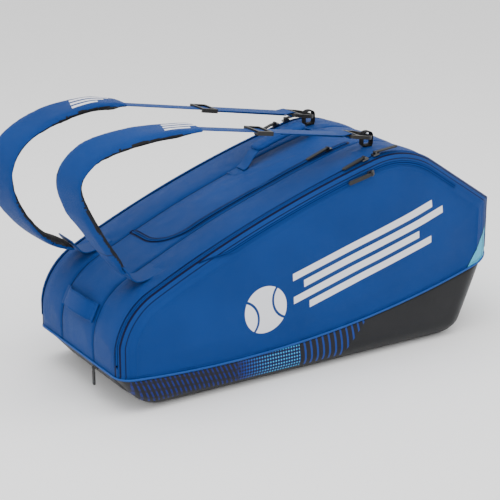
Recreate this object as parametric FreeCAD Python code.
"""A three-compartment racket tournament bag, as separate sewn and moulded pieces.

Frame: origin on the floor under the middle of the bag's own body, +X towards the wide head end, +Z up,
-Y towards the front cover. Everything is in millimetres. Run with FreeCAD's own Python.
"""

import math
import os

import FreeCAD
import Part

V = FreeCAD.Vector
os.makedirs("parts", exist_ok=True)

# ---------------------------------------------------------------- driving dimensions
GRIP_END_X = -372.0         # narrow end, where the racket grips lie
HEAD_END_X = 388.0          # wide end, where the racket heads lie
HALF_WIDTH = 152.0          # middle of the bag to the outside of a cover
WALL = 2.5                  # padded fabric of the outer shell
GRIP_CORNER_PLAN_R = 25.0   # corner radii seen from above
HEAD_CORNER_PLAN_R = 50.0
TUB_EDGE_R = 30.0           # long bottom edges of the tub
CREASE = 1.5                # rounded corners stop this far short of tangent, as sewn and moulded edges do

# side outline, from the narrow end over the top
GRIP_CORNER_R = 115.0
GRIP_CORNER_Z = 93.0        # height of the corner arc's centre
BACK_SLOPE_START = 26.5     # degrees above level where the long back arc starts
BACK_R = 2100.0             # the long, nearly straight back that the zips follow
BACK_END_X = 117.0
PEAK_R = 160.0
HEAD_SLOPE = 34.0           # degrees down from the peak to the head end
HEAD_CORNER_R = 28.0
TUB_GRIP_CORNER_X = GRIP_END_X + 54.0  # where the tub's sloped ends would meet the floor
TUB_HEAD_CORNER_X = HEAD_END_X - 66.0
TUB_GRIP_R = 70.0
TUB_HEAD_R = 40.0

# seam between the tub and the fabric body
SEAM_GRIP_Z = 64.0
SEAM_LOW = (-20.0, 60.0)
SEAM_HEAD_Z = 142.0
PIPING_H = 3.0
PIPING_PROUD = 2.0
PIPING_DEPTH = 4.0

# layout across the bag
DIVIDER_Y = 58.0
DIVIDER_T = 4.0
ZIP_Y = HALF_WIDTH - 14.5    # centre of a main zip
ZIP_HALF_W = 2.9            # one tape and coil half
ZIP_GAP = 0.2               # between the two halves
ZIP_PROUD = 1.0
ZIP_DEPTH = 1.5
FOAM_T = 4.5
FOAM_INSET = 9.0
SEWN_GAP = 0.3              # between a moving edge and its neighbour

# front and rear covers fold along a straight line between their zip's two ends
FOLD_GRIP_Z = 82.0
FOLD_HEAD_Z = 150.0
HEAD_PANEL_TOP_Z = 215.0

# lid of the middle compartment
LID_GRIP_X = -238.0
LID_HEAD_X = 130.0
LID_FRONT_Y = -50.0
LID_REAR_Y = 56.0           # the fold runs from here to the zip's other end
FOLD_GAP_END = 1.2          # the crease is left open, widest where the back arches most
FOLD_GAP_MIDDLE = 8.0
LID_CORNER_R = 58.0
LID_ZIP_GAP = 0.9           # its zip halves stand further apart, because they part sideways as the lid lifts

# outer pocket zip on the front cover
POCKET_DROP = 14.0          # below the cover's top edge
POCKET_ZIP_W = 6.0
POCKET_GRIP_X = -190.0
POCKET_HEAD_X = 300.0

# base
BOARD_T = 2.0
BOARD_GAP = 0.5
BOARD_INSET = 34.0
FLAP_HALF_W = HALF_WIDTH - 47.0
FLAP_LOW_Z = 17.0
FLAP_TOP_Z = SEAM_GRIP_Z - PIPING_H - 1.2 - 2 * ZIP_HALF_W   # leaves its zip room under the piping

# sliders and pulls
SLIDER_L = 13.0
SLIDER_W = 9.0
SLIDER_H = 2.6
SLIDER_LIFT = 0.9           # over the coils
EAR_T = 1.2
PIN_R = 0.9
PIN_CLEAR = 0.3
EYE_R = PIN_R + PIN_CLEAR + 1.0
PIN_UP = EYE_R + 0.3        # pin centre over the slider's top
PULL_L = 46.0
PULL_W = 7.0
PULL_T = 2.4
PULL_TILT = 5.0             # a resting pull leans down onto the zip
SLIDERS_GAP = 22.0          # centres of two sliders that meet
MEET_X = 115.0              # where the two sliders of a main zip meet
LID_SLIDER_X = 93.0
POCKET_SLIDER_X = 100.0
FLAP_SLIDER_Y = -57.0
FLAP_PULL_L = 30.0

# straps
STRAP_Y = 88.0
PAD_W = 70.0
PAD_COVER_T = 4.0
PAD_MESH_T = 6.0
FRONT_PAD_PATH = [(-332.0, 222.0), (-380.0, 290.0), (-430.0, 375.0), (-385.0, 427.0), (-285.0, 441.0), (-190.0, 434.0)]
REAR_PAD_PATH = [(-336.0, 216.0), (-400.0, 243.0), (-456.0, 315.0), (-452.0, 396.0), (-392.0, 437.0), (-302.0, 456.0),
                 (-232.0, 443.0)]
ANCHOR_X = (-276.0, -304.0)
ANCHOR_W = 40.0
ANCHOR_STOP = (8.0, 11.0)   # the tab ends this far short of the pad, which twists as it swings
ANCHOR_T = 2.4
WEB_T = 1.6
WEB_W = 34.0
WEB_END = (98.0, 386.0)     # the bar of the hook that the webbing loops round
ADJUSTER_X = -75.0
ADJUSTER_L = 30.0
ADJUSTER_RAIL = 5.0
ADJUSTER_BAR = 5.0
ADJUSTER_H = 7.0
ADJUSTER_CLEAR = 0.5
HOOK_L = 50.0
HOOK_T = 6.0
HOOK_RAIL = 5.0
HOOK_W = WEB_W + 2 * HOOK_RAIL + 2.0
HOOK_TAIL_WINDOW = 9.0
HOOK_SLOPE = 11.0
TAB_W = 12.0
TAB_T = 2.2
TAB_L = 22.0
TAB_RISE = 11.5             # inside the tab, above and below the hook's bar

# handles
HANDLE_Y = 41.0
HANDLE_RISE = 26.0
HANDLE_X = (-26.0, 4.0, 104.0, 124.0)   # where the band leaves the bag, levels out, turns down, lands
HANDLE_BAND_W = 25.0
HANDLE_BAND_T = 2.4
HANDLE_GRIP_L = 88.0
HANDLE_GRIP_W = 32.0
HANDLE_GRIP_T = 11.0
HANDLE_FOOT_L = 34.0
HANDLE_FOOT_W = 30.0
HANDLE_FOOT_T = 1.5
END_HANDLE_DEG = 154.0      # place on the rounded end, degrees above +X seen from the front
END_HANDLE_HALF_L = 54.0
END_HANDLE_W = 33.0
END_HANDLE_RISE = 16.0
END_HANDLE_T = 4.0
END_BASE_T = 1.5

FAR = 600.0                 # larger than the bag in every direction


# ---------------------------------------------------------------- small helpers
def xz(x, z, y=0.0):
    return V(x, y, z)


def line(a, b):
    return Part.LineSegment(a, b).toShape()


def arc(centre, radius, start_deg, end_deg):
    """An arc in the XZ plane by its centre (x, z) and two angles above +X."""
    points = []
    for t in (start_deg, (start_deg + end_deg) / 2, end_deg):
        a = math.radians(t)
        points.append(xz(centre[0] + radius * math.cos(a), centre[1] + radius * math.sin(a)))
    return Part.Arc(*points).toShape()


def on_circle(centre, radius, deg):
    a = math.radians(deg)
    return (centre[0] + radius * math.cos(a), centre[1] + radius * math.sin(a))


def box(x0, x1, y0, y1, z0, z1):
    return Part.makeBox(x1 - x0, y1 - y0, z1 - z0, V(x0, y0, z0))


def mirrored(shape):
    return shape.mirror(V(0, 0, 0), V(0, 1, 0))


def prism_y(face, y0, y1):
    moved = face.copy()
    moved.translate(V(0, y0, 0))
    return moved.extrude(V(0, y1 - y0, 0))


def rounded_polygon(corners, plane="xz"):
    """Closed face from (a, b, corner radius), with tangent arcs at the corners."""
    def place(a, b):
        return {"xz": V(a, 0, b), "xy": V(a, b, 0), "yz": V(0, a, b)}[plane]

    edges = []
    count = len(corners)
    starts = []
    ends = []
    mids = []
    for i in range(count):
        before = V(*corners[i - 1][:2], 0)
        here = V(*corners[i][:2], 0)
        after = V(*corners[(i + 1) % count][:2], 0)
        radius = corners[i][2]
        u = (before - here).normalize()
        w = (after - here).normalize()
        half = math.acos(max(-1.0, min(1.0, u.dot(w)))) / 2
        reach = radius / math.tan(half) if radius else 0.0
        starts.append(here + u * reach)
        ends.append(here + w * reach)
        bisector = (u + w).normalize()
        mids.append(here + bisector * (radius / math.sin(half) - radius))
    for i in range(count):
        if corners[i][2]:
            edges.append(Part.Arc(place(*starts[i][:2]), place(*mids[i][:2]), place(*ends[i][:2])).toShape())
        after = starts[(i + 1) % count]
        if (after - ends[i]).Length > 1e-6:
            edges.append(line(place(*ends[i][:2]), place(*after[:2])))
    return Part.Face(Part.Wire(Part.__sortEdges__(edges)))


def offset_path(points, radii, shift):
    """Edges along a path of (x, z) points with tangent arcs, moved sideways by shift."""
    count = len(points)
    units = []
    for a, b in zip(points, points[1:]):
        length = math.hypot(b[0] - a[0], b[1] - a[1])
        units.append(((b[0] - a[0]) / length, (b[1] - a[1]) / length))
    edges = []
    n = (-units[0][1], units[0][0])
    cursor = (points[0][0] + n[0] * shift, points[0][1] + n[1] * shift)
    first = cursor
    for i in range(1, count - 1):
        u, w = units[i - 1], units[i]
        turn = math.atan2(u[0] * w[1] - u[1] * w[0], u[0] * w[0] + u[1] * w[1])
        side = 1.0 if turn > 0 else -1.0
        radius = radii[i - 1]
        reach = radius * math.tan(abs(turn) / 2)
        start = (points[i][0] - u[0] * reach, points[i][1] - u[1] * reach)
        centre = (start[0] - u[1] * radius * side, start[1] + u[0] * radius * side)
        real = radius - shift * side
        a0 = math.atan2(start[1] - centre[1], start[0] - centre[0])
        spots = [(centre[0] + real * math.cos(a0 + turn * t), centre[1] + real * math.sin(a0 + turn * t))
                 for t in (0.0, 0.5, 1.0)]
        edges.append(line(xz(*cursor), xz(*spots[0])))
        edges.append(Part.Arc(*(xz(*s) for s in spots)).toShape())
        cursor = spots[2]
    n = (-units[-1][1], units[-1][0])
    last = (points[-1][0] + n[0] * shift, points[-1][1] + n[1] * shift)
    edges.append(line(xz(*cursor), xz(*last)))
    return edges, first, last


def ribbon(points, radii, low, high, width):
    """A band of cloth along a path in XZ, between two sideways shifts, centred on y 0."""
    under, u0, u1 = offset_path(points, radii, low)
    over, o0, o1 = offset_path(points, radii, high)
    edges = under + over + [line(xz(*u0), xz(*o0)), line(xz(*u1), xz(*o1))]
    face = Part.Face(Part.Wire(Part.__sortEdges__(edges)))
    return prism_y(face, -width / 2, width / 2)


def even_radii(points):
    """Corner radii of a path: 0.45 of the shorter run beside each corner."""
    radii = []
    for a, b, c in zip(points, points[1:], points[2:]):
        before = math.dist(a, b)
        after = math.dist(b, c)
        u = ((b[0] - a[0]) / before, (b[1] - a[1]) / before)
        w = ((c[0] - b[0]) / after, (c[1] - b[1]) / after)
        turn = abs(math.atan2(u[0] * w[1] - u[1] * w[0], u[0] * w[0] + u[1] * w[1]))
        radii.append(0.45 * min(before, after) / math.tan(turn / 2))
    return radii


def save(name, shape):
    shape = shape.removeSplitter()
    solids = [s for s in shape.Solids if s.Volume > 1.0]
    good = all(s.isValid() and s.isClosed() for s in solids)
    print(f"{name:26s} solids {len(solids)} volume {sum(s.Volume for s in solids) / 1000:9.2f} cm3 {'' if good else 'BAD'}")
    whole = solids[0] if len(solids) == 1 else Part.makeCompound(solids)
    whole.exportStep(f"parts/{name}.step")


# ---------------------------------------------------------------- side outline of the whole bag
CORNER_C = (GRIP_END_X + GRIP_CORNER_R, GRIP_CORNER_Z)
BACK_START_DEG = 90 + BACK_SLOPE_START
BACK_C = on_circle(CORNER_C, GRIP_CORNER_R - BACK_R, BACK_START_DEG)
BACK_END_DEG = math.degrees(math.acos((BACK_END_X - BACK_C[0]) / BACK_R))
PEAK_C = on_circle(BACK_C, BACK_R - PEAK_R, BACK_END_DEG)
PEAK_END_DEG = 90 - HEAD_SLOPE
PEAK_END = on_circle(PEAK_C, PEAK_R, PEAK_END_DEG)
HEAD_TOP_Z = PEAK_END[1] - (HEAD_END_X - PEAK_END[0]) * math.tan(math.radians(HEAD_SLOPE))


def head_line(shift):
    """Where the sloped top, moved out by shift, meets the head end's upright line."""
    slope = math.radians(HEAD_SLOPE)
    x = HEAD_END_X + shift
    start = on_circle(PEAK_C, PEAK_R + shift, PEAK_END_DEG)
    return (x, start[1] - (x - start[0]) * math.tan(slope))


def corner_parts(a, here, b, radius):
    """Start, middle and end of a tangent arc at a corner, as (x, z)."""
    u = V(a[0] - here[0], 0, a[1] - here[1]).normalize()
    w = V(b[0] - here[0], 0, b[1] - here[1]).normalize()
    half = math.acos(u.dot(w)) / 2
    reach = radius / math.tan(half)
    middle = (u + w).normalize() * (radius / math.sin(half) - radius)
    spot = V(here[0], 0, here[1])
    return spot + u * reach, spot + middle, spot + w * reach


def outline(shift):
    """The bag seen from the side, moved out by shift, as a face in XZ."""
    grip_x = GRIP_END_X - shift
    head_x = HEAD_END_X + shift
    floor_z = -shift
    grip_turn = shifted_corner((GRIP_END_X, SEAM_GRIP_Z), (TUB_GRIP_CORNER_X, 0.0), shift)
    head_turn = shifted_corner((TUB_HEAD_CORNER_X, 0.0), (HEAD_END_X, SEAM_HEAD_Z), shift)
    grip_top = cross_upright(grip_turn, grip_x)
    head_top = cross_upright(head_turn, head_x)
    grip_floor = cross_level(grip_turn, floor_z)
    head_floor = cross_level(head_turn, floor_z)
    top = head_line(shift)
    gf = corner_parts(grip_top, grip_floor, head_floor, TUB_GRIP_R + shift)
    hf = corner_parts(grip_floor, head_floor, head_top, TUB_HEAD_R + shift)
    ht = corner_parts(head_top, top, on_circle(PEAK_C, PEAK_R + shift, PEAK_END_DEG), HEAD_CORNER_R + shift)
    peak_end = xz(*on_circle(PEAK_C, PEAK_R + shift, PEAK_END_DEG))
    edges = [
        line(xz(grip_x, GRIP_CORNER_Z), xz(*grip_top)),
        line(xz(*grip_top), gf[0]),
        Part.Arc(*gf).toShape(),
        line(gf[2], hf[0]),
        Part.Arc(*hf).toShape(),
        line(hf[2], xz(*head_top)),
        line(xz(*head_top), ht[0]),
        Part.Arc(*ht).toShape(),
        line(ht[2], peak_end),
        arc(PEAK_C, PEAK_R + shift, PEAK_END_DEG, BACK_END_DEG),
        arc(BACK_C, BACK_R + shift, BACK_END_DEG, BACK_START_DEG),
        arc(CORNER_C, GRIP_CORNER_R + shift, BACK_START_DEG, 180.0),
    ]
    return Part.Face(Part.Wire(Part.__sortEdges__(edges)))


def shifted_corner(a, b, shift):
    """A line from a to b moved out (down and away) by shift, as point and direction."""
    length = math.hypot(b[0] - a[0], b[1] - a[1])
    d = ((b[0] - a[0]) / length, (b[1] - a[1]) / length)
    n = (d[1], -d[0])
    return (a[0] + n[0] * shift, a[1] + n[1] * shift), d


def cross_upright(moved, x):
    (px, pz), (dx, dz) = moved
    return (x, pz + (x - px) * dz / dx)


def cross_level(moved, z):
    (px, pz), (dx, dz) = moved
    return (px + (z - pz) * dx / dz, z)


def top_point(x, lift=0.0):
    """Surface point (x, z) of the top above a given x, and the slope there in degrees."""
    if x < CORNER_C[0] + GRIP_CORNER_R * math.cos(math.radians(BACK_START_DEG)):
        centre, radius = CORNER_C, GRIP_CORNER_R
    elif x < BACK_END_X:
        centre, radius = BACK_C, BACK_R
    else:
        centre, radius = PEAK_C, PEAK_R
    deg = math.degrees(math.acos((x - centre[0]) / radius))
    spot = on_circle(centre, radius + lift, deg)
    return spot, deg - 90.0


def on_top(shape, x, y, lift=0.0, tilt=0.0):
    """Moves a piece made at the origin, +X along the top and +Z out of it, to its place."""
    (px, pz), slope = top_point(x, lift)
    placed = shape.copy()
    placed.rotate(V(0, 0, 0), V(0, 1, 0), -(slope + tilt))
    placed.translate(V(px, y, pz))
    return placed


# ---------------------------------------------------------------- cutting volumes
def plan(shift):
    gx, hx, hw = GRIP_END_X - shift - CREASE, HEAD_END_X + shift + CREASE, HALF_WIDTH + shift
    gr, hr = GRIP_CORNER_PLAN_R + shift, HEAD_CORNER_PLAN_R + shift
    face = rounded_polygon([(gx, -hw, gr), (hx, -hw, hr), (hx, hw, hr), (gx, hw, gr)], "xy")
    face.translate(V(0, 0, -FAR / 2))
    return face.extrude(V(0, 0, 2 * FAR))


def section(shift):
    hw = HALF_WIDTH + shift + CREASE
    low = -shift - CREASE
    r = TUB_EDGE_R + shift
    face = rounded_polygon([(-hw, low, r), (hw, low, r), (hw, FAR, 0), (-hw, FAR, 0)], "yz")
    face.translate(V(-FAR, 0, 0))
    return face.extrude(V(2 * FAR, 0, 0))


def body(shift):
    """The bag's outer form, moved out by shift."""
    return prism_y(outline(shift), -FAR, FAR).common(plan(shift)).common(section(shift))


def circle_through(a, b, c):
    """Centre (x, z) and radius of the circle through three (x, z) points."""
    d = 2 * (a[0] * (b[1] - c[1]) + b[0] * (c[1] - a[1]) + c[0] * (a[1] - b[1]))
    aa, bb, cc = a[0] ** 2 + a[1] ** 2, b[0] ** 2 + b[1] ** 2, c[0] ** 2 + c[1] ** 2
    x = (aa * (b[1] - c[1]) + bb * (c[1] - a[1]) + cc * (a[1] - b[1])) / d
    z = (aa * (c[0] - b[0]) + bb * (a[0] - c[0]) + cc * (b[0] - a[0])) / d
    return (x, z), math.dist((x, z), a)


SEAM_C, SEAM_R = circle_through((GRIP_END_X, SEAM_GRIP_Z), SEAM_LOW, (HEAD_END_X, SEAM_HEAD_Z))


def seam_z(x, drop=0.0):
    return SEAM_C[1] - drop - math.sqrt(SEAM_R ** 2 - (x - SEAM_C[0]) ** 2)


def seam_face(drop, above=True):
    """Everything above (or below) the seam, lowered by drop."""
    z = FAR if above else -FAR
    xs = (GRIP_END_X - 60.0, (GRIP_END_X + HEAD_END_X) / 2, HEAD_END_X + 60.0)
    a, m, b = (xz(x, seam_z(x, drop)) for x in xs)
    edges = [Part.Arc(a, m, b).toShape(), line(b, xz(b.x, z)), line(xz(b.x, z), xz(a.x, z)), line(xz(a.x, z), a)]
    return prism_y(Part.Face(Part.Wire(edges)), -FAR, FAR)


def fold_z(x):
    share = (x - GRIP_END_X) / (HEAD_END_X - GRIP_END_X)
    return FOLD_GRIP_Z + share * (FOLD_HEAD_Z - FOLD_GRIP_Z)


def fold_side(gap, above=True):
    z = FAR if above else -FAR
    xs = (GRIP_END_X - 60.0, HEAD_END_X + 60.0)
    pts = [xz(xs[0], fold_z(xs[0]) + gap), xz(xs[1], fold_z(xs[1]) + gap), xz(xs[1], z), xz(xs[0], z)]
    return prism_y(Part.Face(Part.makePolygon(pts + pts[:1])), -FAR, FAR)


def slab(y0, y1):
    return box(-FAR, FAR, y0, y1, -FAR, FAR)


OUTER = body(0.0)
INNER = body(-WALL)
SHELL = OUTER.cut(INNER)
ABOVE_SEAM = seam_face(0.0)
ZIP_BAND = prism_y(outline(ZIP_PROUD), -FAR, FAR).common(plan(ZIP_PROUD)).cut(body(-ZIP_DEPTH))
TAPE_IN = ZIP_Y - ZIP_GAP / 2 - ZIP_HALF_W     # body-side edge of the body tape
TAPE_OUT = ZIP_Y + ZIP_GAP / 2 + ZIP_HALF_W    # cover-side edge of the cover tape


# ---------------------------------------------------------------- tub and floor
def tub():
    whole = SHELL.common(seam_face(PIPING_H, above=False))
    return whole.cut(flap_volume(SEWN_GAP))


def flap_volume(gap):
    """The sloped panel at the tub's narrow end that unzips, grown by gap."""
    half = FLAP_HALF_W + gap
    return box(GRIP_END_X - 20, TUB_GRIP_CORNER_X + 60, -half, half, FLAP_LOW_Z - gap, FLAP_TOP_Z + gap)


def base_board():
    low = WALL + BOARD_GAP
    inner = rounded_polygon(
        [(TUB_GRIP_CORNER_X + BOARD_INSET, -HALF_WIDTH + BOARD_INSET, 20),
         (TUB_HEAD_CORNER_X - BOARD_INSET, -HALF_WIDTH + BOARD_INSET, 20),
         (TUB_HEAD_CORNER_X - BOARD_INSET, HALF_WIDTH - BOARD_INSET, 20),
         (TUB_GRIP_CORNER_X + BOARD_INSET, HALF_WIDTH - BOARD_INSET, 20)], "xy")
    inner.translate(V(0, 0, low))
    return inner.extrude(V(0, 0, BOARD_T))


def seam_band():
    return seam_face(PIPING_H).cut(seam_face(0.0))


def piping():
    return body(PIPING_PROUD).cut(body(-PIPING_DEPTH)).common(seam_band())


def floor_panel():
    return body(-PIPING_DEPTH).common(seam_band())


save("base_tub", tub())
save("base_board", base_board())
save("base_seam_piping", piping())
save("compartment_floor", floor_panel())

flap_body = SHELL.common(seam_face(PIPING_H, above=False)).common(flap_volume(0.0))
save("base_flap", flap_body)


def flap_zip():
    """Coil and tape under the seam, along the flap's top edge."""
    band = body(ZIP_PROUD).cut(body(0.0))
    top = FLAP_TOP_Z + SEWN_GAP
    return band.common(box(GRIP_END_X - 20, GRIP_END_X + 60, -FLAP_HALF_W, FLAP_HALF_W, top, top + 2 * ZIP_HALF_W))


save("base_flap_zip", flap_zip())


# ---------------------------------------------------------------- dividers and gussets
def divider():
    y = -DIVIDER_Y
    return prism_y(outline(-WALL - 0.2), y - DIVIDER_T / 2, y + DIVIDER_T / 2).common(ABOVE_SEAM).common(
        plan(-WALL - 0.2))


save("front_divider", divider())
save("rear_divider", mirrored(divider()))

HEAD_PANEL_ZONE = box(HEAD_END_X - HEAD_CORNER_PLAN_R - 10, FAR, -TAPE_IN, TAPE_IN, -FAR, HEAD_PANEL_TOP_Z)


def gusset(y0, y1):
    return SHELL.common(slab(y0, y1)).common(ABOVE_SEAM).cut(HEAD_PANEL_ZONE)


def lid_fold_side(end_gap, middle_gap):
    """Everything in front of the slanting fold of the lid, moved back by the two gaps."""
    dx, dy = LID_HEAD_X - LID_GRIP_X, LID_FRONT_Y - LID_REAR_Y
    length = math.hypot(dx, dy)
    nx, ny = -dy / length, dx / length
    a = V(LID_GRIP_X + nx * end_gap, LID_REAR_Y + ny * end_gap, SEAM_HEAD_Z)
    b = V(LID_HEAD_X + nx * end_gap, LID_FRONT_Y + ny * end_gap, SEAM_HEAD_Z)
    middle = (a + b) * 0.5 + V(nx, ny, 0) * (middle_gap - end_gap)
    a_out, b_out = a - V(dx, dy, 0), b + V(dx, dy, 0)
    a_low, b_low = V(a_out.x, b_out.y - FAR, SEAM_HEAD_Z), V(b_out.x, b_out.y - FAR, SEAM_HEAD_Z)
    back = Part.Arc(a, middle, b).toShape() if middle_gap > end_gap else line(a, b)
    edges = [line(a_out, a), back, line(b, b_out), line(b_out, b_low), line(b_low, a_low), line(a_low, a_out)]
    return Part.Face(Part.Wire(edges)).extrude(V(0, 0, FAR))


def lid_hole(inset, end_gap=FOLD_GAP_END, middle_gap=FOLD_GAP_MIDDLE):
    """The lid's plan, drawn in by inset from its zipped edges."""
    gx, fy = LID_GRIP_X + inset, LID_FRONT_Y + inset
    face = rounded_polygon([(gx, fy, LID_CORNER_R - inset), (FAR, fy, 0), (FAR, FAR, 0), (gx, FAR, 0)], "xy")
    face.translate(V(0, 0, SEAM_HEAD_Z))
    return face.extrude(V(0, 0, FAR)).common(lid_fold_side(end_gap, middle_gap))


def lid_zone(inset):
    """The moving lid's plan: as the hole, but back only to the fold itself."""
    return lid_hole(inset, -SEWN_GAP, -SEWN_GAP)


TOP_BAND = prism_y(outline(ZIP_PROUD), -FAR, FAR).cut(prism_y(outline(-ZIP_DEPTH), -FAR, FAR))
save("front_top_gusset", gusset(-TAPE_IN, -DIVIDER_Y))
save("rear_top_gusset", mirrored(gusset(-TAPE_IN, -DIVIDER_Y)))
save("middle_top_gusset", gusset(-DIVIDER_Y, DIVIDER_Y).cut(lid_hole(0.0)))
save("head_end_panel", SHELL.common(HEAD_PANEL_ZONE).common(ABOVE_SEAM))
save("lid_zip_body_tape", TOP_BAND.common(lid_zone(0.0).cut(lid_zone(ZIP_HALF_W))))
save("lid_zip_lid_tape", TOP_BAND.common(
    lid_zone(ZIP_HALF_W + LID_ZIP_GAP).cut(lid_zone(2 * ZIP_HALF_W + LID_ZIP_GAP))))
save("lid_panel", SHELL.common(lid_zone(2 * ZIP_HALF_W + LID_ZIP_GAP)))


# ---------------------------------------------------------------- covers
def body_tape():
    return ZIP_BAND.common(slab(-ZIP_Y + ZIP_GAP / 2, -TAPE_IN)).common(fold_side(0.0))


def cover_tape():
    return ZIP_BAND.common(slab(-TAPE_OUT, -ZIP_Y - ZIP_GAP / 2)).common(fold_side(SEWN_GAP))


def cover_shell():
    return SHELL.common(slab(-FAR, -TAPE_OUT)).common(fold_side(SEWN_GAP))


def cover_foam():
    y1 = -HALF_WIDTH + WALL
    inside = prism_y(outline(-FOAM_INSET), y1, y1 + FOAM_T)
    return inside.common(plan(-FOAM_INSET / 2 - HEAD_CORNER_PLAN_R / 4)
                         .fuse(plan(-WALL))).common(fold_side(FOAM_INSET)).common(body(-WALL))


def lower_panel():
    return SHELL.common(slab(-FAR, -TAPE_IN)).common(ABOVE_SEAM).common(fold_side(0.0, above=False))


def pocket_zip():
    """A closed zip on the cover's face, just under its top edge."""
    y = -HALF_WIDTH
    band = prism_y(outline(-POCKET_DROP), y - ZIP_PROUD, y).cut(
        prism_y(outline(-POCKET_DROP - POCKET_ZIP_W), y - ZIP_PROUD, y))
    return band.common(box(POCKET_GRIP_X, POCKET_HEAD_X, -FAR, 0, fold_z(POCKET_HEAD_X), FAR))


save("front_cover_panel", cover_shell())
save("rear_cover_panel", mirrored(cover_shell()))
save("front_cover_foam", cover_foam())
save("rear_cover_foam", mirrored(cover_foam()))
save("front_zip_cover_tape", cover_tape())
save("rear_zip_cover_tape", mirrored(cover_tape()))
save("front_zip_body_tape", body_tape())
save("rear_zip_body_tape", mirrored(body_tape()))
save("front_lower_panel", lower_panel())
save("rear_lower_panel", mirrored(lower_panel()))
save("front_pocket_zip", pocket_zip())


# ---------------------------------------------------------------- zip sliders and their pulls
def slider(pin_across=True):
    """Slider at the origin on the bag's surface, +X along the zip, +Z out; its pin lies across or along."""
    low = ZIP_PROUD + SLIDER_LIFT
    block = box(-SLIDER_L / 2, SLIDER_L / 2, -SLIDER_W / 2, SLIDER_W / 2, low, low + SLIDER_H)
    block = block.makeFillet(1.2, [e for e in block.Edges if abs(e.Vertexes[0].X - e.Vertexes[1].X) < 1e-6
                                   and abs(e.Vertexes[0].Y - e.Vertexes[1].Y) < 1e-6])
    pin_z = low + SLIDER_H + PIN_UP
    reach = PULL_W / 2 - 1.0 + PIN_CLEAR
    lugs = []
    for side in (-1, 1):
        inner = side * reach
        outer = side * (reach + EAR_T)
        lugs.append(box(-1.6, 1.6, min(inner, outer), max(inner, outer), low + SLIDER_H - 0.2, pin_z + 1.3))
    pin = Part.makeCylinder(PIN_R, 2 * reach + 0.4, V(0, -reach - 0.2, pin_z), V(0, 1, 0))
    mount = pin.fuse(lugs)
    if not pin_across:
        mount.rotate(V(0, 0, 0), V(0, 0, 1), 90)
    return block.fuse(mount)


def pull(length, pin_across=True, towards=-1):
    """Rubber pull hung on the slider's pin, lying towards -X (or +X) and leaning down a little."""
    eye = Part.makeCylinder(EYE_R, PULL_W - 2.0, V(0, -PULL_W / 2 + 1.0, 0), V(0, 1, 0))
    neck = box(-9.0, 0, -PULL_W / 2 + 1.0, PULL_W / 2 - 1.0, -PULL_T / 2, PULL_T / 2)
    blade = rounded_polygon([(-length, -PULL_W / 2, 3.0), (-6.0, -PULL_W / 2, 1.0), (-6.0, PULL_W / 2, 1.0),
                             (-length, PULL_W / 2, 3.0)], "xy")
    blade.translate(V(0, 0, -PULL_T / 2))
    blade = blade.extrude(V(0, 0, PULL_T))
    hole = Part.makeCylinder(PIN_R + PIN_CLEAR, PULL_W, V(0, -PULL_W / 2, 0), V(0, 1, 0))
    piece = eye.fuse([neck, blade]).cut(hole)
    piece.rotate(V(0, 0, 0), V(0, 1, 0), -PULL_TILT)
    if towards > 0:
        piece = piece.mirror(V(0, 0, 0), V(1, 0, 0))
    piece.translate(V(0, 0, ZIP_PROUD + SLIDER_LIFT + SLIDER_H + PIN_UP))
    if not pin_across:
        piece.rotate(V(0, 0, 0), V(0, 0, 1), 90)
    return piece


def on_cover_face(shape, x):
    """As on_top, but on the front cover's upright face along the pocket zip."""
    turned = shape.copy()
    turned.rotate(V(0, 0, 0), V(1, 0, 0), 90)
    return on_top(turned, x, -HALF_WIDTH, -POCKET_DROP - POCKET_ZIP_W / 2)


flap_zip_z = FLAP_TOP_Z + SEWN_GAP + ZIP_HALF_W


def flap_frame(z):
    """Point on the sloped lower end at height z, and the turn about Y that faces a piece out of it."""
    (px, pz), (dx, dz) = shifted_corner((GRIP_END_X, SEAM_GRIP_Z), (TUB_GRIP_CORNER_X, 0.0), 0.0)
    x = px + (z - pz) * dx / dz
    return (x, z), math.degrees(math.atan2(dz, -dx))


def on_flap(shape, y, z):
    """Turns +X of a piece to +Y and +Z out of the sloped end."""
    (px, pz), lean = flap_frame(z)
    placed = shape.copy()
    placed.rotate(V(0, 0, 0), V(0, 0, 1), 90)
    placed.rotate(V(0, 0, 0), V(0, 1, 0), lean)
    placed.translate(V(px, y, pz))
    return placed


def hanging_pull():
    """The flap's pull hangs straight down from its pin."""
    (px, pz), lean = flap_frame(flap_zip_z)
    up = ZIP_PROUD + SLIDER_LIFT + SLIDER_H + PIN_UP
    piece = pull(FLAP_PULL_L)
    piece.translate(V(0, 0, -up))
    piece.rotate(V(0, 0, 0), V(0, 1, 0), PULL_TILT - 90.0)
    turn = math.radians(lean)
    piece.translate(V(px + up * math.sin(turn), FLAP_SLIDER_Y, pz + up * math.cos(turn)))
    return piece


main_grip_x = MEET_X - SLIDERS_GAP / 2
main_head_x = MEET_X + SLIDERS_GAP / 2
for where, turn in (("front", lambda s: s), ("rear", mirrored)):
    save(f"{where}_slider_grip", turn(on_top(slider(), main_grip_x, -ZIP_Y)))
    save(f"{where}_pull_grip", turn(on_top(pull(PULL_L), main_grip_x, -ZIP_Y)))
    save(f"{where}_slider_head", turn(on_top(slider(), main_head_x, -ZIP_Y)))
    save(f"{where}_pull_head", turn(on_top(pull(PULL_L, towards=1), main_head_x, -ZIP_Y)))

lid_zip_y = LID_FRONT_Y + ZIP_HALF_W + LID_ZIP_GAP / 2
save("lid_slider", on_top(slider(), LID_SLIDER_X, lid_zip_y))
save("lid_pull", on_top(pull(PULL_L), LID_SLIDER_X, lid_zip_y))
save("pocket_slider", on_cover_face(slider(), POCKET_SLIDER_X))
save("pocket_pull", on_cover_face(pull(PULL_L), POCKET_SLIDER_X))
save("flap_slider", on_flap(slider(pin_across=False), FLAP_SLIDER_Y, flap_zip_z))
save("flap_pull", hanging_pull())


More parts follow.
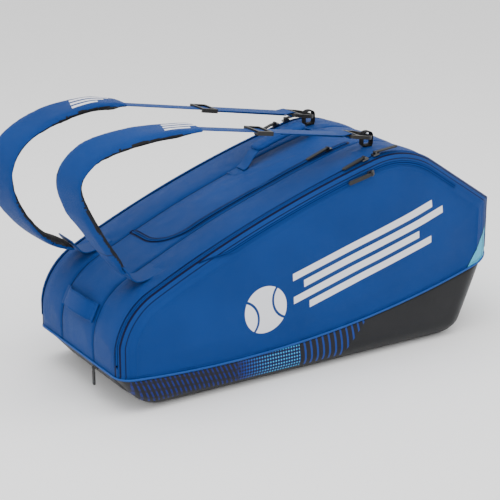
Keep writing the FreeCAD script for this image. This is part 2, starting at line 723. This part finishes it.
# ---------------------------------------------------------------- straps
def strap_anchor(pad_path):
    """Sewn tab from the seam up to the pad's first point."""
    flat = [top_point(x, ANCHOR_T / 2 + 0.3)[0] for x in ANCHOR_X]
    end = pad_path[0]
    path = flat + [(end[0] + ANCHOR_STOP[0], end[1] - ANCHOR_STOP[1])]
    return ribbon(path, even_radii(path), -ANCHOR_T / 2, ANCHOR_T / 2, ANCHOR_W)


def pad_layer(path, low, high):
    return ribbon(path, even_radii(path), low, high, PAD_W)


def run_ends(pad_path):
    """The straight run's two ends and its angle above level."""
    start = pad_path[-1]
    end = (WEB_END[0] - 3.5, WEB_END[1])
    return start, end, math.degrees(math.atan2(end[1] - start[1], end[0] - start[0]))


def webbing(pad_path):
    """Flat run from the pad's end to the loop round the hook's tail bar."""
    start, end, angle = run_ends(pad_path)
    run = box(0.0, math.dist(start, end), -WEB_W / 2, WEB_W / 2, 0.0, WEB_T)
    run.rotate(V(0, 0, 0), V(0, 1, 0), -angle)
    run.translate(xz(*start))
    loop_r = HOOK_RAIL / 2 + ADJUSTER_CLEAR + WEB_T
    y = -WEB_W / 2
    loop = Part.makeCylinder(loop_r, WEB_W, V(WEB_END[0], y, WEB_END[1]), V(0, 1, 0))
    bore = Part.makeCylinder(loop_r - WEB_T, WEB_W + 2, V(WEB_END[0], y - 1, WEB_END[1]), V(0, 1, 0))
    return run.fuse(loop).cut(bore)


def adjuster(pad_path):
    """Three-bar slide: the webbing passes under, over and under its bars."""
    half_l = ADJUSTER_L / 2
    half_w = WEB_W / 2 + ADJUSTER_CLEAR
    low, high = -ADJUSTER_H / 2, ADJUSTER_H / 2
    rails = [box(-half_l, half_l, s * half_w - (ADJUSTER_RAIL if s < 0 else 0),
                 s * half_w + (ADJUSTER_RAIL if s > 0 else 0), low, high) for s in (-1, 1)]
    over = WEB_T / 2 + ADJUSTER_CLEAR
    bars = [box(-half_l, -half_l + ADJUSTER_BAR, -half_w, half_w, over, high),
            box(half_l - ADJUSTER_BAR, half_l, -half_w, half_w, over, high),
            box(-ADJUSTER_BAR / 2, ADJUSTER_BAR / 2, -half_w, half_w, low, -over)]
    piece = rails[0].fuse([rails[1]] + bars)
    start, end, angle = run_ends(pad_path)
    share = (ADJUSTER_X - start[0]) / (end[0] - start[0])
    piece.translate(V(0, 0, WEB_T / 2))
    piece.rotate(V(0, 0, 0), V(0, 1, 0), -angle)
    piece.translate(V(ADJUSTER_X, 0, start[1] + share * (end[1] - start[1])))
    return piece


def hook():
    """Moulded hook: a tail bar for the webbing and an open window whose nose bar catches the tab."""
    tail = -HOOK_RAIL / 2
    nose = HOOK_L - HOOK_RAIL / 2
    plate = rounded_polygon([(tail, -HOOK_W / 2, 6), (nose, -HOOK_W / 2, 16), (nose, HOOK_W / 2, 16),
                             (tail, HOOK_W / 2, 6)], "xy").extrude(V(0, 0, HOOK_T))
    inner = HOOK_W / 2 - HOOK_RAIL
    tail_window = box(tail + HOOK_RAIL, tail + HOOK_RAIL + HOOK_TAIL_WINDOW, -inner, inner, 0, HOOK_T)
    nose_start = tail + 2 * HOOK_RAIL + HOOK_TAIL_WINDOW
    nose_window = rounded_polygon([(nose_start, -inner, 2), (nose - HOOK_RAIL, -inner, 11),
                                   (nose - HOOK_RAIL, inner, 11), (nose_start, inner, 2)], "xy")
    piece = plate.cut([tail_window, nose_window.extrude(V(0, 0, HOOK_T))])
    half = HOOK_RAIL / 2
    trim = box(tail, tail + HOOK_RAIL, -inner, inner, 0, HOOK_T)
    bar = Part.makeCylinder(half, 2 * inner, V(0, -inner, HOOK_T / 2), V(0, 1, 0))
    piece = piece.cut(trim).fuse(bar)
    piece.translate(V(0, 0, -HOOK_T / 2))
    piece.rotate(V(0, 0, 0), V(0, 1, 0), HOOK_SLOPE)
    piece.translate(V(WEB_END[0], 0, WEB_END[1]))
    return piece


def nose_bar():
    """Centre of the hook's nose bar, about which the strap also swings."""
    reach = HOOK_L - HOOK_RAIL
    slope = math.radians(HOOK_SLOPE)
    return (WEB_END[0] + reach * math.cos(slope), WEB_END[1] - reach * math.sin(slope))


def hook_tab():
    """Upright loop of webbing sewn to the bag, with the hook's nose bar through it."""
    cx, cz = nose_bar()
    low = top_point(cx)[0][1] + SEWN_GAP + 1.0
    outer = rounded_polygon([(cx - TAB_L / 2, low, 2), (cx + TAB_L / 2, low, 2),
                             (cx + TAB_L / 2, cz + TAB_RISE + TAB_T, 8), (cx - TAB_L / 2, cz + TAB_RISE + TAB_T, 8)])
    inner = rounded_polygon([(cx - TAB_L / 2 + TAB_T, low + TAB_T, 1), (cx + TAB_L / 2 - TAB_T, low + TAB_T, 1),
                             (cx + TAB_L / 2 - TAB_T, cz + TAB_RISE, 5.8), (cx - TAB_L / 2 + TAB_T, cz + TAB_RISE, 5.8)])
    return prism_y(outer.cut(inner), -TAB_W / 2, TAB_W / 2)


def at_strap(shape, side):
    placed = shape.copy()
    placed.translate(V(0, side * STRAP_Y, 0))
    return placed


for where, side, path in (("front", -1, FRONT_PAD_PATH), ("rear", 1, REAR_PAD_PATH)):
    save(f"{where}_strap_anchor", at_strap(strap_anchor(path), side))
    web = webbing(path)
    save(f"{where}_pad_cover", at_strap(pad_layer(path, WEB_T, WEB_T + PAD_COVER_T), side))
    save(f"{where}_pad_mesh", at_strap(pad_layer(path, -PAD_MESH_T, 0.0), side))
    save(f"{where}_webbing", at_strap(web, side))
    save(f"{where}_adjuster", at_strap(adjuster(path), side))
    save(f"{where}_hook", at_strap(hook(), side))
    save(f"{where}_hook_tab", at_strap(hook_tab(), side))


# ---------------------------------------------------------------- handles
def handle_path():
    low = HANDLE_BAND_T / 2 + HANDLE_FOOT_T + SEWN_GAP
    lifts = (low, HANDLE_RISE, HANDLE_RISE, low)
    return [top_point(x, lift)[0] for x, lift in zip(HANDLE_X, lifts)]


def handle_band():
    path = handle_path()
    return ribbon(path, [14.0, 12.0], -HANDLE_BAND_T / 2, HANDLE_BAND_T / 2, HANDLE_BAND_W)


def handle_grip():
    path = handle_path()
    (ax, az), (bx, bz) = path[1], path[2]
    angle = math.degrees(math.atan2(bz - az, bx - ax))
    half = HANDLE_GRIP_L / 2
    sleeve = rounded_polygon([(-HANDLE_GRIP_W / 2, -HANDLE_GRIP_T / 2, 4), (HANDLE_GRIP_W / 2, -HANDLE_GRIP_T / 2, 4),
                              (HANDLE_GRIP_W / 2, HANDLE_GRIP_T / 2, 4), (-HANDLE_GRIP_W / 2, HANDLE_GRIP_T / 2, 4)],
                             "yz")
    sleeve.translate(V(-half, 0, 0))
    sleeve = sleeve.extrude(V(HANDLE_GRIP_L, 0, 0))
    sleeve.rotate(V(0, 0, 0), V(0, 1, 0), -angle)
    sleeve.translate(V((ax + bx) / 2, 0, (az + bz) / 2))
    return sleeve.cut(handle_band())


def handle_foot(x):
    """Reinforcing patch on the top, following its curve."""
    half = HANDLE_FOOT_L / 2
    band = prism_y(outline(HANDLE_FOOT_T), -FAR, FAR).cut(prism_y(outline(0.0), -FAR, FAR))
    return band.common(box(x - half, x + half, HANDLE_Y - HANDLE_FOOT_W / 2, HANDLE_Y + HANDLE_FOOT_W / 2,
                           SEAM_HEAD_Z, FAR))


def shift_y(shape, y):
    shape.translate(V(0, y, 0))
    return shape


save("handle_band", shift_y(handle_band(), HANDLE_Y))
save("handle_grip", shift_y(handle_grip(), HANDLE_Y))
save("handle_foot_grip", handle_foot(HANDLE_X[0] - 6.0))
save("handle_foot_head", handle_foot(HANDLE_X[3] + 6.0))


def end_handle_base():
    spot = on_circle(CORNER_C, GRIP_CORNER_R, END_HANDLE_DEG)
    band = prism_y(outline(END_BASE_T), -FAR, FAR).cut(prism_y(outline(0.0), -FAR, FAR))
    half = END_HANDLE_W / 2
    return band.common(box(GRIP_END_X - 20, spot[0] + 40, -END_HANDLE_HALF_L, END_HANDLE_HALF_L,
                           spot[1] - half, spot[1] + half - 4))


def end_handle_band():
    """Arched grab band; made flat in XZ, then turned so it stands off the rounded end."""
    low = END_BASE_T + SEWN_GAP + END_HANDLE_T / 2
    high = END_HANDLE_RISE
    half = END_HANDLE_HALF_L
    path = [(-half, low), (-half + 12, low), (-half + 26, high), (half - 26, high), (half - 12, low), (half, low)]
    piece = ribbon(path, [10.0, 10.0, 10.0, 10.0], -END_HANDLE_T / 2, END_HANDLE_T / 2, END_HANDLE_W)
    piece.rotate(V(0, 0, 0), V(0, 0, 1), 90)
    piece.rotate(V(0, 0, 0), V(0, 1, 0), 90 - END_HANDLE_DEG)
    spot = on_circle(CORNER_C, GRIP_CORNER_R, END_HANDLE_DEG)
    piece.translate(xz(*spot))
    return piece


save("end_handle_base", end_handle_base())
save("end_handle_band", end_handle_band())
